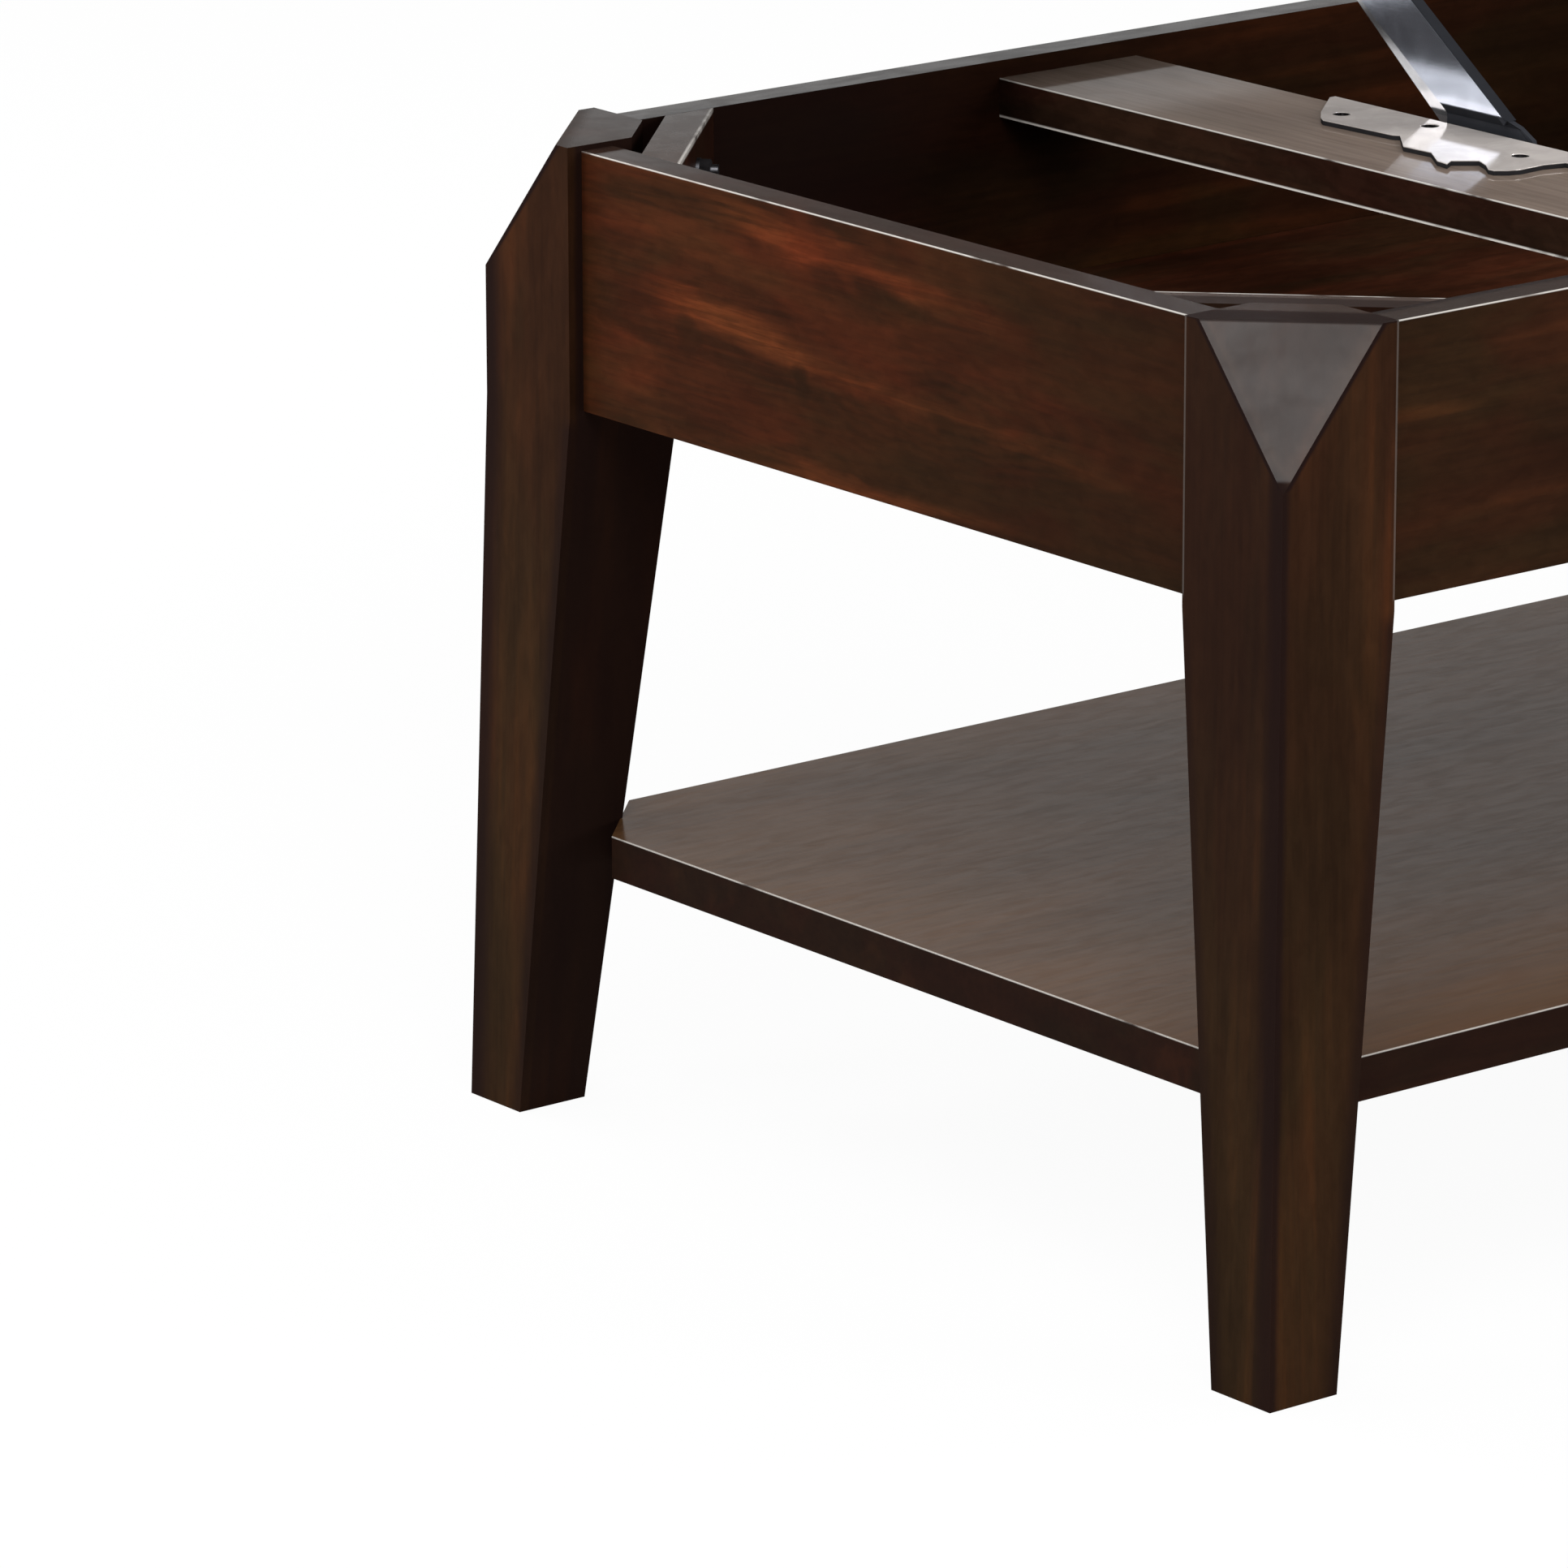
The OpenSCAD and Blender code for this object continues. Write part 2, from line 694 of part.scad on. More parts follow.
module top_bumpers() {
    in = (facet_w + cut_sum) / 4;
    color(rubber) for (sx = [-1, 1], sy = [-1, 1])
        translate([sx * (table_l / 2 - in), base_y - travel_y + sy * (table_w / 2 - in), top_z - bumper_t])
            cylinder(h = bumper_t, r = bumper_d / 2);
}

bracket_back = 13;
bracket_ahead = 138;
top_bracket_w = 26;

module top_bracket(side) {
    length = bracket_back + bracket_ahead;
    color(steel) mechanism(side) difference() {
        union() {
            translate([rear_high[0] - bracket_back, top_z - plate_t, -top_bracket_w])
                cube([length, plate_t, top_bracket_w + foot_d + plate_t]);
            translate([0, 0, foot_d]) linear_extrude(plate_t) hull() {
                translate([rear_high[0] - bracket_back, top_z - 10]) square([length, 10]);
                translate(rear_high) circle(lug_r);
                translate(front_high) circle(lug_r);
            }
        }
        for (x = top_screw_x) top_screw_place(x) translate([0, 0, -plate_t - over])
            cylinder(h = plate_t + 2 * over, r = screw_d / 2 + fit_gap);
        pin(rear_high, -over, foot_d + plate_t + over, pivot_d / 2 + run_gap);
        pin(front_high, -over, foot_d + plate_t + over, pivot_d / 2 + run_gap);
    }
}

module top_bracket_screws() {
    head = 2.4;
    color(zinc) both_sides() for (x = top_screw_x) top_screw_place(x) {
        translate([0, 0, -plate_t - head]) cylinder(h = head, r = screw_head_d / 2);
        translate([0, 0, -plate_t]) cylinder(h = plate_t + top_screw_bite, r = screw_d / 2);
    }
}

module top_rear_rivets() {
    color(zinc) both_sides() {
        pin(rear_high, strip_d - side_gap - rivet_head_h, strip_d - side_gap, rivet_head_r);
        pin(rear_high, strip_d - side_gap, foot_d + plate_t, pivot_d / 2);
        pin(rear_high, strip_d + arm_t + side_gap, foot_d, rivet_head_r);
        pin(rear_high, foot_d + plate_t, foot_d + plate_t + rivet_head_h, rivet_head_r);
    }
}

module top_front_rivets() {
    color(zinc) both_sides() {
        pin(front_high, foot_d - rivet_head_h, foot_d, rivet_head_r);
        pin(front_high, foot_d, front_d + arm_t + side_gap, pivot_d / 2);
        pin(front_high, foot_d + plate_t, front_d - side_gap, rivet_head_r);
        pin(front_high, front_d + arm_t + side_gap, front_d + arm_t + side_gap + rivet_head_h, rivet_head_r);
    }
}

leg(-1, -1);  // leg_front_left
leg(1, -1);  // leg_front_right
leg(-1, 1);  // leg_back_left
leg(1, 1);  // leg_back_right
long_apron(-1);  // apron_front
long_apron(1);  // apron_back
end_apron(-1);  // apron_left
end_apron(1);  // apron_right
corner_brace(-1, -1);  // corner_brace_front_left
corner_brace(1, -1);  // corner_brace_front_right
corner_brace(-1, 1);  // corner_brace_back_left
corner_brace(1, 1);  // corner_brace_back_right
hanger_bolts();
hanger_washers();
hanger_nuts();
brace_screws();
bottom_panel();
cross_rail(-1);  // cross_rail_left
cross_rail(1);  // cross_rail_right
rail_dowels();
lower_shelf();
shelf_pins();
base_plate(-1);  // base_plate_left
base_plate(1);  // base_plate_right
base_plate_screws();
rear_pivot_rivets();
front_pivot_studs();
front_stud_collars();
lift_spring(-1);  // lift_spring_left
lift_spring(1);  // lift_spring_right
rear_arm(-1);  // rear_arm_left
rear_arm(1);  // rear_arm_right
front_arm(-1);  // front_arm_left
front_arm(1);  // front_arm_right
top_panel();
top_bracket(-1);  // top_bracket_left
top_bracket(1);  // top_bracket_right
top_rear_rivets();
top_front_rivets();
top_bracket_screws();
top_bumpers();
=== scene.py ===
"""Looks of a lift-top coffee table in dark walnut stain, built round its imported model."""

import math

import bpy
from mathutils import Matrix, Vector


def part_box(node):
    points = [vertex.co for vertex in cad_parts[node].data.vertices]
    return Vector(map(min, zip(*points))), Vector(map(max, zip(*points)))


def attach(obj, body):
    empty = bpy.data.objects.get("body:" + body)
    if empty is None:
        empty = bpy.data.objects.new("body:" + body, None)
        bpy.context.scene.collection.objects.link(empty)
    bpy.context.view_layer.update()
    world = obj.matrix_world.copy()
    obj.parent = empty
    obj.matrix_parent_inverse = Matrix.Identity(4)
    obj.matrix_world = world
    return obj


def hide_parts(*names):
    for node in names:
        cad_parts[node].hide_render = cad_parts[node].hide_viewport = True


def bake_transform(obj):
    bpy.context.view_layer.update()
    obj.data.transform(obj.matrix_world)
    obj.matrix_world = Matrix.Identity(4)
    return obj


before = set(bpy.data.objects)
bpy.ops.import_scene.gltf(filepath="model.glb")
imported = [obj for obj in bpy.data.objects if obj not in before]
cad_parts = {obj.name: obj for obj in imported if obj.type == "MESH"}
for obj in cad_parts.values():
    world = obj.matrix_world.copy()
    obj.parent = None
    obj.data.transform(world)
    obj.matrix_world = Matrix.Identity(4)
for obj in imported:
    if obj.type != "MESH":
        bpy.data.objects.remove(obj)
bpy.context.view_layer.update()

CORNERS = ("front_left", "front_right", "back_left", "back_right")

# The lowest and highest corners of the pieces that the finishes follow
LEG_LOW, LEG_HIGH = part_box("leg_back_right")
APRON_LOW, APRON_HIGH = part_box("apron_right")
RAIL_LOW, RAIL_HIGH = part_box("cross_rail_right")
SHELF_LOW, SHELF_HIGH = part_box("lower_shelf")
BRACE_LOW, BRACE_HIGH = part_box("corner_brace_back_right")
ARM_LOW, ARM_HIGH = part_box("rear_arm_right")
PLATE_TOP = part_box("base_plate_right")[1].z

# The middle of the base along Y, and half its length and width over the legs
FOOT_KICK = 0.008
BASE_Y = (SHELF_LOW.y + SHELF_HIGH.y) / 2
HALF_LENGTH = LEG_HIGH.x - FOOT_KICK
HALF_WIDTH = LEG_HIGH.y - FOOT_KICK - BASE_Y

# A leg's width above and at the foot, and the height below which it tapers
LEG_WIDTH, FOOT_WIDTH, TAPER_TOP = HALF_LENGTH - LEG_LOW.x, 0.0385, 0.343

# The facet across a leg's outer corner: its size, its lowest point, and its width on the leg's
# face for each metre above that
FACET_WIDTH, FACET_HEIGHT = 0.055, 0.066
FACET_TIP, FACET_SLOPE = LEG_HIGH.z - FACET_HEIGHT, FACET_WIDTH / FACET_HEIGHT

# Half the distance between the long aprons' inner faces, and |x| plus |y - BASE_Y| along the
# braces' inner sides
INSIDE = BRACE_HIGH.y - BASE_Y
BRACE_REACH = BRACE_LOW.x + INSIDE

# A rear arm's half width, and its lean from the Y axis in the raised pose
ARM_HALF, ARM_LEAN = 0.0125, math.radians(35.5)

# Points of a copied mesh that are nearer than this are one point, and neighbouring faces that
# turn less than this are one face
WELD, FLAT = 0.00002, math.radians(1)


def srgb(red, green, blue):
    """A colour written as eight-bit screen values."""
    return tuple(
        c / 255 / 12.92 if c <= 10 else ((c / 255 + 0.055) / 1.055) ** 2.4
        for c in (red, green, blue))


def darker(colour, share):
    """A colour with each part brought down to that share."""
    return [part * share for part in colour]


# Each wood's dark and light tones, and its glow
UPRIGHT = (srgb(32, 20, 13), srgb(48, 31, 20), srgb(60, 35, 20))
BOARD = (srgb(32, 19, 12), srgb(48, 29, 18), srgb(64, 36, 20))
END_BOARD = (srgb(32, 19, 12), srgb(46, 26, 15), srgb(100, 48, 27))
SHELF = (srgb(30, 19, 12), srgb(46, 29, 19), srgb(56, 34, 21))
CROSSPIECE = (srgb(34, 21, 17), srgb(46, 29, 23), srgb(56, 33, 25))
INSIDE_BOARD = (srgb(45, 27, 19), srgb(64, 38, 27), srgb(74, 41, 28))
BEECH = (srgb(150, 112, 76), srgb(188, 150, 106), srgb(200, 160, 112))

# Painted sheen colours that stand in for the lacquer's reflections on faces that look up, the dark
# glaze (partly painted shade), painted highlights on edges, and painted shade on steel
EDGE_PAINTED_SHEEN, SHELF_PAINTED_SHEEN = srgb(58, 49, 45), srgb(100, 70, 44)
RAIL_PAINTED_SHEEN, BRACE_PAINTED_SHEEN = srgb(147, 131, 119), srgb(84, 71, 64)
GLAZE_AND_SHADE, HIGHLIGHT_PAINT, STEEL_SHADE = srgb(24, 14, 13), srgb(226, 221, 214), srgb(24, 24, 27)

# What the stain's hue is multiplied by in its redder and its greener patches
REDDER, GREENER = (1.12, 0.92, 0.80), (0.93, 1.03, 0.86)

# Lit streaks in the end boards: (y, z) of both ends, half the width, and the strength
LIT_STREAKS = (
    ((0.075, 0.458), (0.250, 0.442), 0.011, 1.0),
    ((0.120, 0.400), (0.350, 0.387), 0.008, 0.55),
    ((0.030, 0.410), (0.130, 0.399), 0.014, 1.4),
    ((0.130, 0.350), (0.250, 0.349), 0.006, 0.9),
)

# Dark knots in the end boards: (y, z) of the middle, and the reach along Y and Z
KNOTS = (
    ((0.048, 0.392), (0.011, 0.014)),
    ((0.132, 0.386), (0.009, 0.012)),
    ((0.228, 0.365), (0.034, 0.006)),
)

# The end boards' nested arches: the (y, z) they lie round, how much distances from it count
# along Y and Z, and how fast one follows another, in radians for each metre so counted
ARCH_MIDDLE, ARCH_SQUEEZE, ARCH_RATE = (0.240, 0.397), (2.0, 9.0), 150.0

# Soft lamps: place, width and height, and power in watts. All look at one spot of the table
LAMP_AIM = (0.1, 0.15, 0.35)
LAMPS = {
    "key": ((2.6, 2.6, 4.0), (3.2, 2.6), 150),
    "left_box": ((3.6, -1.2, 1.5), (1.4, 1.8), 48),
    "right_box": ((-1.4, 3.6, 1.5), (1.4, 1.8), 60),
    "sitter_box": ((2.2, -2.4, 1.45), (1.1, 0.8), 20),
    "far_rim": ((0.9, -2.5, 2.5), (1.6, 0.7), 40),
    "end_rim": ((-2.5, 0.9, 2.9), (1.6, 0.7), 40),
}


class Value:
    """A shader number that adds Math nodes as it is worked out."""

    def __init__(self, shader, socket):
        self.shader, self.socket = shader, socket

    def _math(self, operation, *inputs):
        node = self.shader.node("Math", {"operation": operation}, dict(enumerate(inputs)))
        return Value(self.shader, node.outputs[0])

    def __add__(self, other):
        return self._math("ADD", self, other)

    __radd__ = __add__

    def __sub__(self, other):
        return self._math("SUBTRACT", self, other)

    def __rsub__(self, other):
        return self._math("SUBTRACT", other, self)

    def __mul__(self, other):
        return self._math("MULTIPLY", self, other)

    __rmul__ = __mul__

    def __truediv__(self, number):
        return self * (1 / number)

    def __pow__(self, other):
        return self._math("POWER", self, other)

    def abs(self):
        return self._math("ABSOLUTE", self)

    def wave(self):
        return self._math("SINE", self)

    def least(self, other):
        return self._math("MINIMUM", self, other)

    def most(self, other):
        return self._math("MAXIMUM", self, other)

    def step(self, low, high):
        """Rises smoothly from 0 at low to 1 at high, or falls where high is the lower."""
        first, last, start, end = (low, high, 0, 1) if low < high else (high, low, 1, 0)
        node = self.shader.node("MapRange", {"interpolation_type": "SMOOTHSTEP"}, {
            "Value": self, "From Min": first, "From Max": last, "To Min": start, "To Max": end})
        return Value(self.shader, node.outputs[0])


class Nodes:
    """The nodes of one tree, which starts empty."""

    def __init__(self, tree):
        self.tree = tree
        tree.nodes.clear()

    def node(self, kind, settings=None, inputs=None):
        """A node of that kind, its settings made first and its sockets set or linked after."""
        node = self.tree.nodes.new("ShaderNode" + kind)
        for key, value in (settings or {}).items():
            setattr(node, key, value)
        for key, value in (inputs or {}).items():
            self.put(node.inputs[key], value)
        return node

    def put(self, socket, value):
        """Links a socket to a value or another socket, or sets its number, vector or colour."""
        if isinstance(value, Value):
            value = value.socket
        if isinstance(value, bpy.types.NodeSocket):
            self.tree.links.new(value, socket)
        elif isinstance(value, (tuple, list)) and socket.type == "RGBA":
            socket.default_value = (*value, 1)
        else:
            socket.default_value = value


class Shader(Nodes):
    """One material's nodes, with a Principled shader at the end."""

    def __init__(self, name):
        self.material = bpy.data.materials.new(name)
        self.material.use_nodes = True
        super().__init__(self.material.node_tree)
        self.principled = self.node("BsdfPrincipled")
        self.output = self.node("OutputMaterial", None, {0: self.principled.outputs[0]})

    def set(self, **inputs):
        """Sets or links the Principled shader's sockets, their names' spaces as underscores."""
        for key, value in inputs.items():
            self.put(self.principled.inputs[key.replace("_", " ")], value)

    def parts(self, vector):
        """A vector's three parts as numbers."""
        split = self.node("SeparateXYZ", None, {0: vector})
        return [Value(self, part) for part in split.outputs]

    def axes(self):
        """The three Object coordinates as numbers, in metres."""
        return self.parts(self.node("TexCoord").outputs["Object"])

    def noise(self, rates, detail=2.0, roughness=0.5, distortion=0.0, shift=(0, 0, 0)):
        """Noise with so many cells in a metre along X, Y and Z."""
        place = self.node("Mapping", {"vector_type": "POINT"}, {
            "Vector": self.node("TexCoord").outputs["Object"], "Location": shift, "Scale": rates})
        node = self.node("TexNoise", None, {
            "Vector": place.outputs[0], "Scale": 1.0, "Detail": detail,
            "Roughness": roughness, "Distortion": distortion})
        return Value(self, node.outputs["Fac"])

    def mix(self, factor, first, second, blend="MIX"):
        """Blends two colours by a factor. A Mix node's sockets for colours are 6, 7 and 2."""
        node = self.node("Mix", {"data_type": "RGBA", "blend_type": blend},
                         {0: factor, 6: first, 7: second})
        return node.outputs[2]

    def tint(self, colour, by):
        """One colour multiplied by another."""
        return self.mix(1.0, colour, by, "MULTIPLY")

    def bump(self, height, distance, strength):
        node = self.node("Bump", None, {
            "Height": height, "Distance": distance, "Strength": strength})
        self.set(Normal=node.outputs[0])


def deepest(*masks):
    """The greatest of several masks."""
    whole = masks[0]
    for mask in masks[1:]:
        whole = whole.most(mask)
    return whole


def lengthways(grain, along, across):
    """Three rates, for X, Y and Z: one along the grain and one across it."""
    return [along if axis == grain else across for axis in "XYZ"]


def grain_noise(wood, grain, along, across, seed, detail=4.0, distortion=0.0):
    """Noise drawn out along the grain: along and across are cells in a metre."""
    return wood.noise(lengthways(grain, along, across), detail, 0.55, distortion,
                      (seed, seed * 0.7, seed * 1.3))


def upward(wood):
    """Nought on upright faces, about a half on the facets, one on level faces that look up."""
    normal = wood.node("NewGeometry").outputs["Normal"]
    return wood.parts(normal)[2].step(0.12, 0.95)


def stained_wood(name, grain, dark, light, glow, seed=0.0, gloss=0.42, polish=1.0,
                 figure=None, olive=None, glaze_and_shade=None, painted_highlight=None, painted_sheen=None, specular=0.01,
                 coat_roughness=0.14, blotches=0.16, smear=(26.0, 60.0)):
    """Stained wood under lacquer that is polished on the faces that look up.

    The tones run from dark to light, and the glow shows in patches or where figure gives it.
    olive, glaze and rub are masks of a greener hue, of the dark glaze together with painted shade,
    and of painted highlights along edges.
    haze is a sheen colour painted on faces that look up, standing in for the lacquer's
    reflections, and polish is the lacquer's share or a mask.
    blotches is how much the stain's brightness varies, and smear how fast the lacquer's does,
    along the grain and across it.
    """
    wood = Shader(name)
    clouds = grain_noise(wood, grain, 4.0, 16.0, seed, 4.0, 0.6)
    bands = grain_noise(wood, grain, 2.4, 42.0, seed + 1, 4.0, 0.8)
    streaks = grain_noise(wood, grain, 16.0, 300.0, seed + 2, 5.0, 0.5)
    mottle = grain_noise(wood, grain, 70.0, 170.0, seed + 23, 5.0, 0.6)
    fibres = grain_noise(wood, grain, 60.0, 1500.0, seed + 5, 3.0)
    hue = grain_noise(wood, grain, 7.0, 26.0, seed + 11, 3.0, 0.4).step(0.38, 0.62)
    smears = grain_noise(wood, grain, *smear, seed + 17, 4.0, 0.8)

    lightness = (clouds * 0.46 + bands * 0.3 + streaks * 0.24).step(0.34, 0.66)
    colour = wood.mix(lightness, dark, light)
    if figure:
        glowing = figure(wood)
    else:
        glowing = bands.step(0.48, 0.68) * clouds.step(0.42, 0.62) * 0.9
    colour = wood.mix(glowing, colour, glow)
    pores = streaks.step(0.52, 0.7) * 0.2 + fibres.step(0.55, 0.75) * 0.3
    colour = wood.mix(pores, colour, dark)
    if olive:
        hue = hue * 0.4 + olive(wood) * 0.6
    colour = wood.tint(colour, wood.mix(hue, REDDER, GREENER))
    blotchy = wood.mix(mottle.step(0.32, 0.68), (1 - blotches,) * 3, (1 + blotches,) * 3)
    colour = wood.tint(colour, blotchy)
    # painted sheen: faces that look up are lightened towards the haze colour, in place of the
    # lacquer's reflections
    if painted_sheen:
        painted_sheen_mask = upward(wood) * (streaks * 0.5 + clouds * 0.5 + 0.1)
        colour = wood.mix(painted_sheen_mask, colour, painted_sheen)
    # the glaze colour goes where the mask puts real dark glaze and where it puts painted shade
    if glaze_and_shade:
        colour = wood.mix(glaze_and_shade(wood), colour, GLAZE_AND_SHADE)
    # painted highlight: thin pale lines laid along edges, in place of the lacquer's glints
    if painted_highlight:
        colour = wood.mix(painted_highlight(wood), colour, HIGHLIGHT_PAINT)

    sheen = polish(wood) if callable(polish) else polish
    uneven = smears.step(0.3, 0.65) * 0.24 + mottle.step(0.3, 0.7) * 0.1 + 0.68
    wood.set(Base_Color=colour, Roughness=gloss + streaks * 0.08,
             Coat_Weight=upward(wood) * uneven * sheen,
             Coat_Roughness=coat_roughness, Specular_IOR_Level=specular)
    wood.bump(fibres * 0.5 + streaks * 0.5, 0.0001, 0.15)
    return wood.material


def long_side(x, y):
    """How far inside the long aprons' outer faces a point is."""
    return APRON_HIGH.x - HALF_LENGTH + HALF_WIDTH - (y - BASE_Y).abs()


def end_side(x, y):
    """How far inside the end aprons' outer faces a point is."""
    return APRON_HIGH.x - x.abs()


def rail_side(x, y):
    """How far inside the rails' outer sides a point is."""
    return RAIL_HIGH.x - x.abs()


def shelf_side(x, y):
    """How far inside the shelf's four sides a point is."""
    return (SHELF_HIGH.x - x.abs()).least(SHELF_HIGH.y - BASE_Y - (y - BASE_Y).abs())


def brace_side(x, y):
    """How far behind the braces' inner sides a point is, in |x| plus |y|."""
    return x.abs() + (y - BASE_Y).abs() - BRACE_REACH


def highlight_line(side, level, width=0.0008, strength=0.65):
    """A painted highlight: a thin pale line, broken here and there, where a side, given by the
    distance from it, meets the level z.
    """
    def line(wood):
        x, y, z = wood.axes()
        breaks = grain_noise(wood, "Z", 30.0, 30.0, 3.3, 3.0).step(0.3, 0.5)
        on_side = side(x, y).abs().step(width, width * 0.4)
        on_level = (z - level).abs().step(width, width * 0.4)
        return on_side * on_level * breaks * strength
    return line


def leg_faces(wood):
    """Distances from a leg's two outer faces, followed down the kick of the foot, and z."""
    x, y, z = wood.axes()
    kick = (TAPER_TOP - z).most(0) * (FOOT_KICK / TAPER_TOP)
    return HALF_LENGTH - x.abs() + kick, HALF_WIDTH - (y - BASE_Y).abs() + kick, z


def lower_leg(wood):
    """Rises from nought at the aprons to one near the floor."""
    return wood.axes()[2].step(0.44, 0.12)


def back_corners(wood):
    """One at the two back corners, nought at the sitter's."""
    return wood.axes()[1].step(0.2, 0.3)


def leg_end(z):
    """One on the end grain at a leg's top."""
    return z.step(LEG_HIGH.z - 0.0012, LEG_HIGH.z - 0.0004)


def end_grain_and_shade(wood):
    """The end grain beside the facet on the back legs' tops, stained darker, with painted shade
    there too for the sheen that fades across it.
    """
    across, along, z = leg_faces(wood)
    return leg_end(z) * (across + along).step(0.085, 0.076) * back_corners(wood)


def leg_glaze_and_shade(wood):
    """The darker glaze along a leg's outer arrises and, below the aprons, its inner ones; painted
    shade on its inner faces, on the back legs' end faces, in a thin line beside the facet, and on
    the back legs' end grain.
    """
    across, along, z = leg_faces(wood)
    arris = (along + across * 3).step(0.017, 0.004)
    # painted shade: a thin dark line beside the facet, on its rounded edge
    beside_facet = across + along - (z - FACET_TIP) * FACET_SLOPE
    outline = beside_facet.step(0.0042, 0.0015) * z.step(FACET_TIP - 0.002, FACET_TIP + 0.002)
    outline = outline * (1 - upward(wood) * 2.2).most(0)
    width = z.least(TAPER_TOP) * ((LEG_WIDTH - FOOT_WIDTH) / TAPER_TOP) + FOOT_WIDTH
    inner_arris = (width - across.most(along)).step(0.011, 0.001)
    inner_arris = inner_arris * z.step(APRON_LOW.z, APRON_LOW.z - 0.010)
    # painted shade: the inner faces, which look into the shade under the table, are darkened
    inner_face = across.least(along).step(0.002, 0.006) * (1 - upward(wood))
    # painted shade: the back legs' end faces are darkened as the side in shade
    end_face = across.step(0.003, 0.001) * back_corners(wood) * z.step(0.08, 0.3)
    return deepest(arris * 0.85, inner_face * 0.8, inner_arris * 0.65, end_face * 0.36,
                   outline * 0.95, end_grain_and_shade(wood) * 0.8)


def leg_highlight(wood):
    """A painted highlight: the thin pale line along a back leg's edges against the aprons."""
    across, along, z = leg_faces(wood)
    edge = (across.most(along) - (LEG_WIDTH - 0.0005)).abs().step(0.0008, 0.0004)
    outer = across.least(along).step(0.0012, 0.0006)
    above = z.step(APRON_LOW.z + 0.001, APRON_LOW.z + 0.005)
    return edge * outer * back_corners(wood) * above * 0.055


def leg_polish(wood):
    """Less lacquer on a leg's end grain beside the facet, and none on the facet's blunt tip."""
    across, along, z = leg_faces(wood)
    shade_share = leg_end(z) * (across + along).step(0.068, 0.056) * 0.4
    lacquer = 0.64 + z.step(0.40, 0.45) * 0.1 - shade_share.most(end_grain_and_shade(wood) * 0.56)
    return lacquer * z.step(FACET_TIP + 0.0042, FACET_TIP + 0.006)


def apron_painted_shadow(wood):
    """Painted shadow on the long aprons' inner faces, nearly black but for the stretch between the
    rails.
    """
    x, y, _ = wood.axes()
    inside = (y - BASE_Y).abs().step(INSIDE + 0.006, INSIDE + 0.002)
    return inside * (x.abs().step(0.26, 0.37) * 0.72 + 0.06)


def rail_highlights(wood):
    """Painted highlights along the rails' two long edges, the lower one wider."""
    upper = highlight_line(rail_side, RAIL_HIGH.z, strength=0.9)
    lower = highlight_line(rail_side, RAIL_LOW.z, width=0.0015, strength=0.97)
    return upper(wood).most(lower(wood))


def brace_middle(wood):
    """The back braces' middle, behind the painted highlight on their inner rim, where they get
    less lacquer and painted shade.
    """
    x, y, _ = wood.axes()
    return brace_side(x, y).step(0.0075, 0.0105) * back_corners(wood)


def brace_painted_shade(wood):
    """Painted shade where the back braces' middle looks up, standing in for a dark reflection."""
    return brace_middle(wood) * upward(wood) * 0.7


def brace_polish(wood):
    """Less lacquer on the back braces' middle."""
    return 0.8 - brace_middle(wood) * 0.55


def shelf_edge_shade(wood):
    """Painted shade on the shelf's edges and underside, the faces that don't look up."""
    return (1 - upward(wood)) * 0.6


def streak(y, z, start, end, width):
    """A soft streak on an end board from one (y, z) to another."""
    slope = (end[1] - start[1]) / (end[0] - start[0])
    middle = (y - start[0]) * slope + start[1]
    lengthwise = y.step(start[0] - 0.02, start[0] + 0.03) * y.step(end[0] + 0.05, end[0] - 0.03)
    return (z - middle).abs().step(width, width * 0.1) * lengthwise


def oval(y, z, middle, reach):
    """A soft oval round a (y, z) on an end board."""
    far = ((y - middle[0]) / reach[0]) ** 2 + ((z - middle[1]) / reach[1]) ** 2
    return far.step(1.0, 0.1)


def cathedral(wood):
    """The end boards' figure: warm towards the sitter, with streaks, knots and nested arches."""
    _, y, z = wood.axes()
    bend = grain_noise(wood, "Y", 7.0, 22.0, 7.7, 4.0, 0.9) - 0.5
    fine = grain_noise(wood, "Y", 18.0, 300.0, 9.1, 4.0, 0.4).step(0.38, 0.66)
    patches = bend.step(-0.10, 0.12)
    along, up = y + bend * 0.05, z + bend * 0.022
    warm = y.step(0.52, -0.10) * (y.step(-0.06, 0.06) * 0.4 + 0.6)
    low_back = up.step(0.42, 0.36) * y.step(0.10, 0.20)

    lit = 0.0
    for start, end, width, strength in LIT_STREAKS:
        lit = streak(along, up, start, end, width) * strength + lit
    knots = deepest(*(oval(along, up, *knot) for knot in KNOTS))
    arch = (((along - ARCH_MIDDLE[0]) * ARCH_SQUEEZE[0]) ** 2
            + ((up - ARCH_MIDDLE[1]) * ARCH_SQUEEZE[1]) ** 2 + 0.0004) ** 0.5
    rings = ((arch * ARCH_RATE).wave() * 0.5 + 0.5) * arch.step(0.42, 0.12)

    glow = warm * (patches * 0.25 + fine * 0.13 + 0.04) * (1 - low_back * 0.75)
    glow = glow + lit * (fine * 0.35 + 0.35) * (warm * 0.75 + 0.2) + rings * 0.045
    return (glow * (1 - knots * 0.8)).least(1).most(0)


def arm_shade(steel):
    """Painted shade on a rear arm's returned edge and on its joggled foot, standing in for dark
    reflections.
    """
    _, y, z = steel.axes()
    pivot_y, pivot_z = ARM_LOW.y + ARM_HALF, ARM_HIGH.z - ARM_HALF
    across = (y - pivot_y) * math.sin(ARM_LEAN) + (z - pivot_z) * math.cos(ARM_LEAN)
    edge = (across - ARM_HALF).abs().step(0.0006, 0.0003)
    foot = z.step(LEG_HIGH.z + 0.0006, LEG_HIGH.z - 0.0002)
    return (edge * 0.97).most(foot * 0.95)


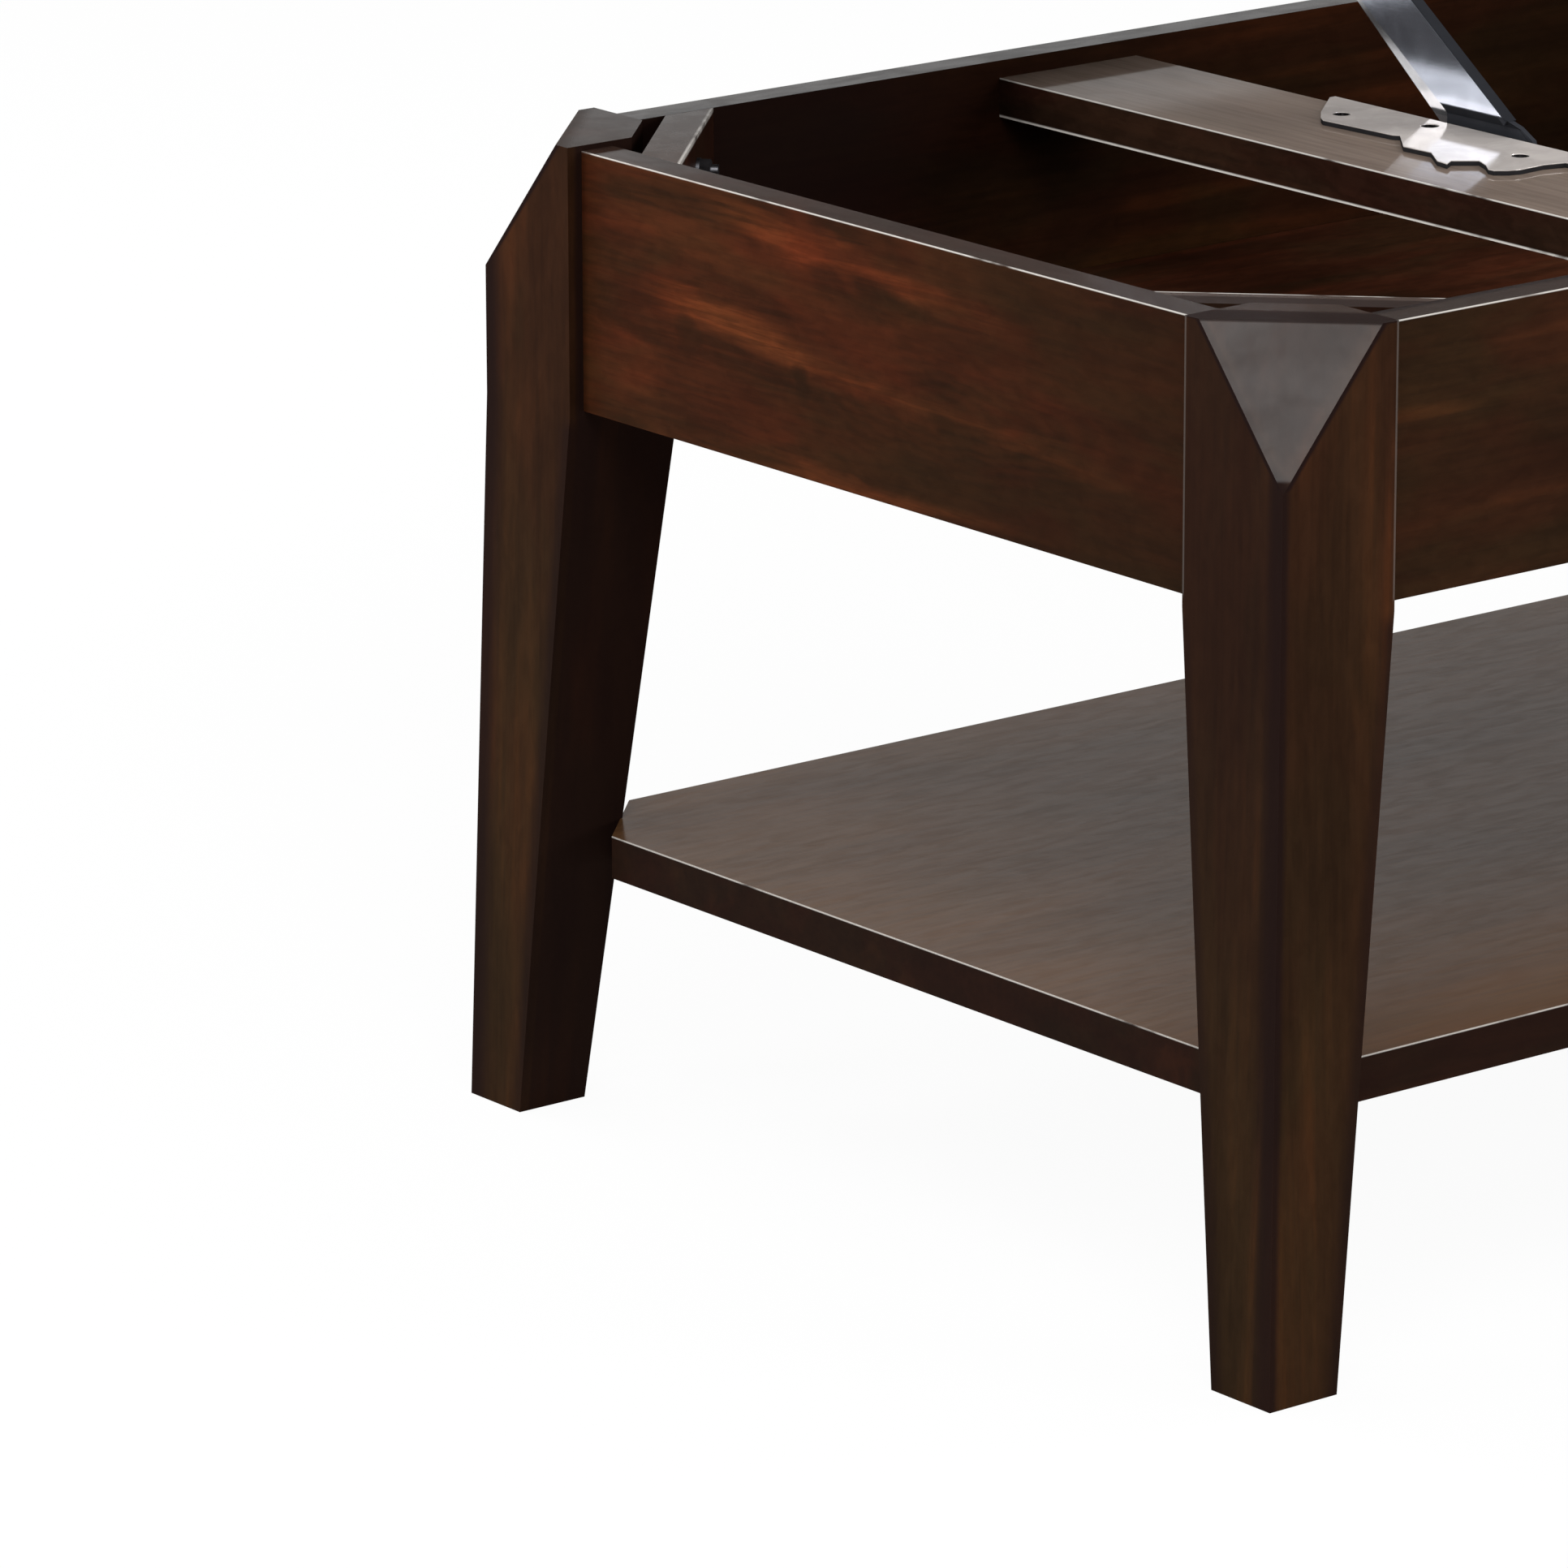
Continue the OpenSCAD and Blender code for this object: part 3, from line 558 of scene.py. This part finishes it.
def plate_shade(steel):
    """Painted shade on the base plates' sheared edges, which are made darker and less metallic."""
    z = steel.axes()[2]
    below_face = z.step(PLATE_TOP - 0.0002, PLATE_TOP - 0.0005)
    above_rail = z.step(RAIL_HIGH.z - 0.0004, RAIL_HIGH.z - 0.0001)
    return below_face * above_rail * 0.98


def rolled_steel(name, colour, roughness, grain="Y", shaded=None, metallic=0.85):
    """Cold-rolled steel with fine rolling lines and cloudy bright and dull patches, and where
    shaded gives a mask, a dark, less metallic painted shade.
    """
    steel = Shader(name)
    lines = steel.noise(lengthways(grain, 40, 900), 3.0, 0.6)
    clouds = steel.noise((38, 38, 38), 4.0, 0.6, 0.6)
    shade = steel.mix(clouds.step(0.35, 0.7), darker(colour, 0.78), colour)
    if shaded:
        shade_share = shaded(steel)
        shade = steel.mix(shade_share, shade, STEEL_SHADE)
        metallic = (1 - shade_share) * metallic
    steel.set(Base_Color=shade, Metallic=metallic, Specular_IOR_Level=0.0,
              Roughness=roughness + lines * 0.05 + clouds * 0.06)
    steel.bump(lines, 0.00002, 0.05)
    return steel.material


def plated(name, colour, roughness):
    """Plated fasteners: a faint mottling in colour and roughness."""
    metal = Shader(name)
    mottle = metal.noise((260, 260, 260), 3.0, 0.55)
    metal.set(Base_Color=metal.mix(mottle, darker(colour, 0.7), colour),
              Metallic=1.0, Roughness=roughness + mottle * 0.15)
    return metal.material


def rubber(name):
    """Matt black moulded rubber."""
    soft = Shader(name)
    speckle = soft.noise((900, 900, 900))
    soft.set(Base_Color=soft.mix(speckle, srgb(18, 18, 18), srgb(34, 34, 34)),
             Roughness=0.75 + speckle * 0.1)
    soft.bump(speckle, 0.00005, 0.4)
    return soft.material


def copied(node, name, material):
    """A loose copy of a CAD node's mesh in a material."""
    piece = bpy.data.objects.new(name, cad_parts[node].data.copy())
    bpy.context.scene.collection.objects.link(piece)
    piece.data.materials.clear()
    piece.data.materials.append(material)
    return piece


def merge_faces(piece):
    """Makes whole faces of a copied node's loose triangles, with only that piece selected."""
    for thing in bpy.context.selected_objects:
        thing.select_set(False)
    bpy.context.view_layer.objects.active = piece
    piece.select_set(True)
    bpy.ops.object.mode_set(mode="EDIT")
    bpy.ops.mesh.select_all(action="SELECT")
    bpy.ops.mesh.remove_doubles(threshold=WELD)
    bpy.ops.mesh.dissolve_limited(angle_limit=FLAT)
    bpy.ops.object.mode_set(mode="OBJECT")


def eased(node, width, material, body="base", segments=3):
    """A copy of a node with its arrises rounded, in place of the node."""
    piece = copied(node, node + "_eased", material)
    merge_faces(piece)
    bevel = piece.modifiers.new("arris", "BEVEL")
    bevel.width, bevel.segments = width, segments
    bevel.limit_method, bevel.angle_limit = "ANGLE", math.radians(25)
    bpy.ops.object.shade_smooth()
    flat = piece.modifiers.new("flat_faces", "WEIGHTED_NORMAL")
    flat.weight, flat.keep_sharp = 100, False
    bpy.ops.object.modifier_apply(modifier="arris")
    bpy.ops.object.modifier_apply(modifier="flat_faces")
    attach(piece, body)
    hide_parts(node)


def twisting_spring(side, material):
    """A counterbalance spring, copied loose in a material with its place baked in, in place of the
    node.
    """
    name = "lift_spring_" + side
    # The coil runs along X round the front stud
    piece = copied(name, "coiled_" + name, material)
    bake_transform(piece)
    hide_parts(name)


def select_face(piece, middle):
    """Selects only the upward face round that point."""
    for part in (piece.data.vertices, piece.data.edges, piece.data.polygons):
        part.foreach_set("select", [False] * len(part))
    for face in piece.data.polygons:
        face.select = face.normal.z > 0.9 and (face.center - Vector(middle)).length < 0.002


def sunk_screws(material):
    """The base plates' screws, each head a little below its countersink's rim and dished."""
    name = "base_plate_screws"
    head_scale, head_drop = 0.91, 0.0004
    # The dish's two rings from the rim inwards: the inset, and how far what is inside it sinks
    rings = ((0.0005, 0.0003), (0.0008, 0.0014))
    piece = copied(name, "sunk_" + name, material)
    merge_faces(piece)
    middles = [tuple(face.center) for face in piece.data.polygons
               if face.normal.z > 0.9 and face.center.z > PLATE_TOP - 0.0001]
    for middle in middles:
        select_face(piece, middle)
        bpy.ops.object.mode_set(mode="EDIT")
        bpy.ops.mesh.select_mode(type="FACE")
        bpy.ops.transform.resize(value=(head_scale, head_scale, 1), center_override=middle)
        bpy.ops.transform.translate(value=(0, 0, -head_drop))
        for inset, drop in rings:
            bpy.ops.mesh.inset(thickness=inset)
            bpy.ops.transform.translate(value=(0, 0, -drop))
        bpy.ops.object.mode_set(mode="OBJECT")
    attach(piece, "base")
    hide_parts(name)


def dress(material, *nodes):
    """Gives CAD nodes a material."""
    for name in nodes:
        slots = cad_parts[name].data.materials
        slots.clear()
        slots.append(material)


def viewpoint():
    """The photograph's viewpoint: a long lens above and behind the table's right end."""
    image_width, focal_pixels = 1932, 11543.9
    eye = Vector((3.0866, 3.3288, 1.3694))
    ahead = Vector((-0.596414, -0.753974, -0.275346)).normalized()
    roll = math.radians(-0.1397)
    level = ahead.cross(Vector((0, 0, 1))).normalized()
    over = level.cross(ahead)
    right = level * math.cos(roll) + over * math.sin(roll)
    above = over * math.cos(roll) - level * math.sin(roll)
    data = bpy.data.cameras.new("camera")
    data.sensor_width = 36
    data.lens = focal_pixels * data.sensor_width / image_width
    data.clip_start, data.clip_end = 0.05, 60
    camera = bpy.data.objects.new("camera", data)
    camera.matrix_world = Matrix((
        (right.x, above.x, -ahead.x, eye.x),
        (right.y, above.y, -ahead.y, eye.y),
        (right.z, above.z, -ahead.z, eye.z),
        (0, 0, 0, 1),
    ))
    bpy.context.scene.collection.objects.link(camera)
    bpy.context.scene.camera = camera


def floor_paper():
    """A pale floor that the camera sees white and that mirrors dimly in the table."""
    bpy.ops.mesh.primitive_plane_add(size=24, location=(0, 0, 0))
    floor = bpy.context.object
    floor.name = "floor"
    sheet = Shader("floor_paper")
    sheet.set(Base_Color=(0.8, 0.8, 0.8), Roughness=0.9)
    white = sheet.node("Emission", None, {"Color": (1, 1, 1), "Strength": 1.0})
    rays = sheet.node("LightPath").outputs
    seen, glossy, through = [
        Value(sheet, rays[f"Is {kind} Ray"]) for kind in ("Camera", "Glossy", "Transmission")]
    whiteness = (seen * 0.95).most((glossy + through) * 0.2)
    blend = sheet.node("MixShader", None, {
        0: whiteness, 1: sheet.principled.outputs[0], 2: white.outputs[0]})
    sheet.put(sheet.output.inputs[0], blend.outputs[0])
    floor.data.materials.append(sheet.material)


def white_room():
    """A white world, dimmer in its own light than where the camera sees it."""
    world = bpy.data.worlds.new("studio")
    bpy.context.scene.world = world
    world.use_nodes = True
    room = Nodes(world.node_tree)
    rays = room.node("LightPath").outputs

    def backdrop(strength):
        return room.node("Background", None, {"Color": (1, 1, 1), "Strength": strength}).outputs[0]

    def with_ray(kind, others, own):
        """One backdrop for rays of that kind, and another for the others."""
        return room.node("MixShader", None, {0: rays[kind], 1: others, 2: own}).outputs[0]

    lit = with_ray("Is Glossy Ray", backdrop(0.42), backdrop(0.55))
    lit = with_ray("Is Transmission Ray", lit, backdrop(0.55))
    room.node("OutputWorld", None, {0: with_ray("Is Camera Ray", lit, backdrop(1.0))})


def soft_lamps():
    """The studio's lamps, which the camera doesn't see."""
    for name, (place, size, power) in LAMPS.items():
        data = bpy.data.lights.new(name, "AREA")
        data.shape, data.size, data.size_y, data.energy = "RECTANGLE", size[0], size[1], power
        lamp = bpy.data.objects.new(name, data)
        lamp.location = place
        towards = Vector(LAMP_AIM) - Vector(place)
        lamp.rotation_euler = towards.to_track_quat("-Z", "Y").to_euler()
        lamp.visible_camera = False
        bpy.context.scene.collection.objects.link(lamp)


viewpoint()
bpy.context.scene.view_settings.view_transform = "Standard"
floor_paper()
white_room()
soft_lamps()

# The woods
leg_wood = stained_wood(
    "upright_walnut", "Z", *UPRIGHT, polish=leg_polish, olive=lower_leg, glaze_and_shade=leg_glaze_and_shade,
    painted_highlight=leg_highlight, painted_sheen=EDGE_PAINTED_SHEEN, blotches=0.08, smear=(60.0, 20.0))
long_apron_wood = stained_wood(
    "lengthwise_walnut", "X", *BOARD, seed=3.1, glaze_and_shade=apron_painted_shadow, painted_sheen=EDGE_PAINTED_SHEEN, blotches=0.1,
    painted_highlight=highlight_line(long_side, APRON_HIGH.z))
end_apron_wood = stained_wood(
    "crosswise_walnut", "Y", *END_BOARD, seed=1.7, figure=cathedral, painted_sheen=EDGE_PAINTED_SHEEN, blotches=0.1,
    painted_highlight=highlight_line(end_side, APRON_HIGH.z))
shelf_wood = stained_wood(
    "shelf_walnut", "X", *SHELF, seed=5.3, gloss=0.3, polish=0.54, glaze_and_shade=shelf_edge_shade,
    painted_sheen=SHELF_PAINTED_SHEEN, coat_roughness=0.17, blotches=0.09, smear=(34.0, 150.0),
    painted_highlight=highlight_line(shelf_side, SHELF_HIGH.z, strength=0.5))
top_wood = stained_wood(
    "top_walnut", "X", *BOARD, seed=8.9, polish=0.32, specular=0.05, coat_roughness=0.24)
rail_wood = stained_wood(
    "rail_walnut", "Y", *CROSSPIECE, seed=6.1, gloss=0.2, polish=0.57, painted_sheen=RAIL_PAINTED_SHEEN,
    coat_roughness=0.06, painted_highlight=rail_highlights)
brace_wood = stained_wood(
    "brace_walnut", "Z", *CROSSPIECE, seed=2.6, gloss=0.3, polish=brace_polish,
    glaze_and_shade=brace_painted_shade, painted_sheen=BRACE_PAINTED_SHEEN, painted_highlight=highlight_line(brace_side, APRON_HIGH.z, width=0.0025))
inside_wood = stained_wood("inside_board", "X", *INSIDE_BOARD, seed=4.4, gloss=0.5, polish=0.0)
beech = stained_wood("bare_beech", "Y", *BEECH, gloss=0.6, polish=0.0)

# The metals and the rubber
mechanism_steel = rolled_steel("mechanism_steel", srgb(200, 201, 205), 0.09)
rear_arm_steel = rolled_steel("rear_arm_steel", srgb(188, 194, 207), 0.07, shaded=arm_shade)
plate_steel = rolled_steel(
    "plate_steel", srgb(226, 218, 213), 0.05, shaded=plate_shade, metallic=0.45)
spring_steel = rolled_steel("spring_steel", srgb(120, 122, 126), 0.3, "X")
zinc = plated("zinc_plate", srgb(178, 182, 188), 0.28)
dull_zinc = plated("dull_zinc", srgb(96, 96, 100), 0.32)
black_plate = plated("black_plate", srgb(26, 25, 26), 0.3)
bumper_rubber = rubber("bumper_rubber")

# The frame, the shelf and the top, each with how far its arrises are rounded
for corner in CORNERS:
    eased("leg_" + corner, 0.0012, leg_wood)
for side in ("front", "back"):
    eased("apron_" + side, 0.001, long_apron_wood)
for side in ("left", "right"):
    eased("apron_" + side, 0.001, end_apron_wood)
for side in ("left", "right"):
    eased("cross_rail_" + side, 0.0012, rail_wood)
for corner in CORNERS:
    eased("corner_brace_" + corner, 0.0008, brace_wood)
eased("lower_shelf", 0.0015, shelf_wood)
eased("top_panel", 0.002, top_wood, "top")
dress(inside_wood, "bottom_panel")
dress(beech, "rail_dowels")

# The lift
for side in ("left", "right"):
    eased("base_plate_" + side, 0.0003, plate_steel, segments=2)
    eased("rear_arm_" + side, 0.0003, rear_arm_steel, "rear_arm_" + side, segments=2)
    dress(mechanism_steel, "front_arm_" + side, "top_bracket_" + side)
twisting_spring("right", spring_steel)
twisting_spring("left", spring_steel)

# The fasteners and the top's bumpers
sunk_screws(black_plate)
dress(dull_zinc, "hanger_bolts", "hanger_washers", "hanger_nuts", "brace_screws")
dress(zinc, "shelf_pins", "rear_pivot_rivets", "front_pivot_studs", "front_stud_collars",
      "top_rear_rivets", "top_front_rivets", "top_bracket_screws")
dress(bumper_rubber, "top_bumpers")
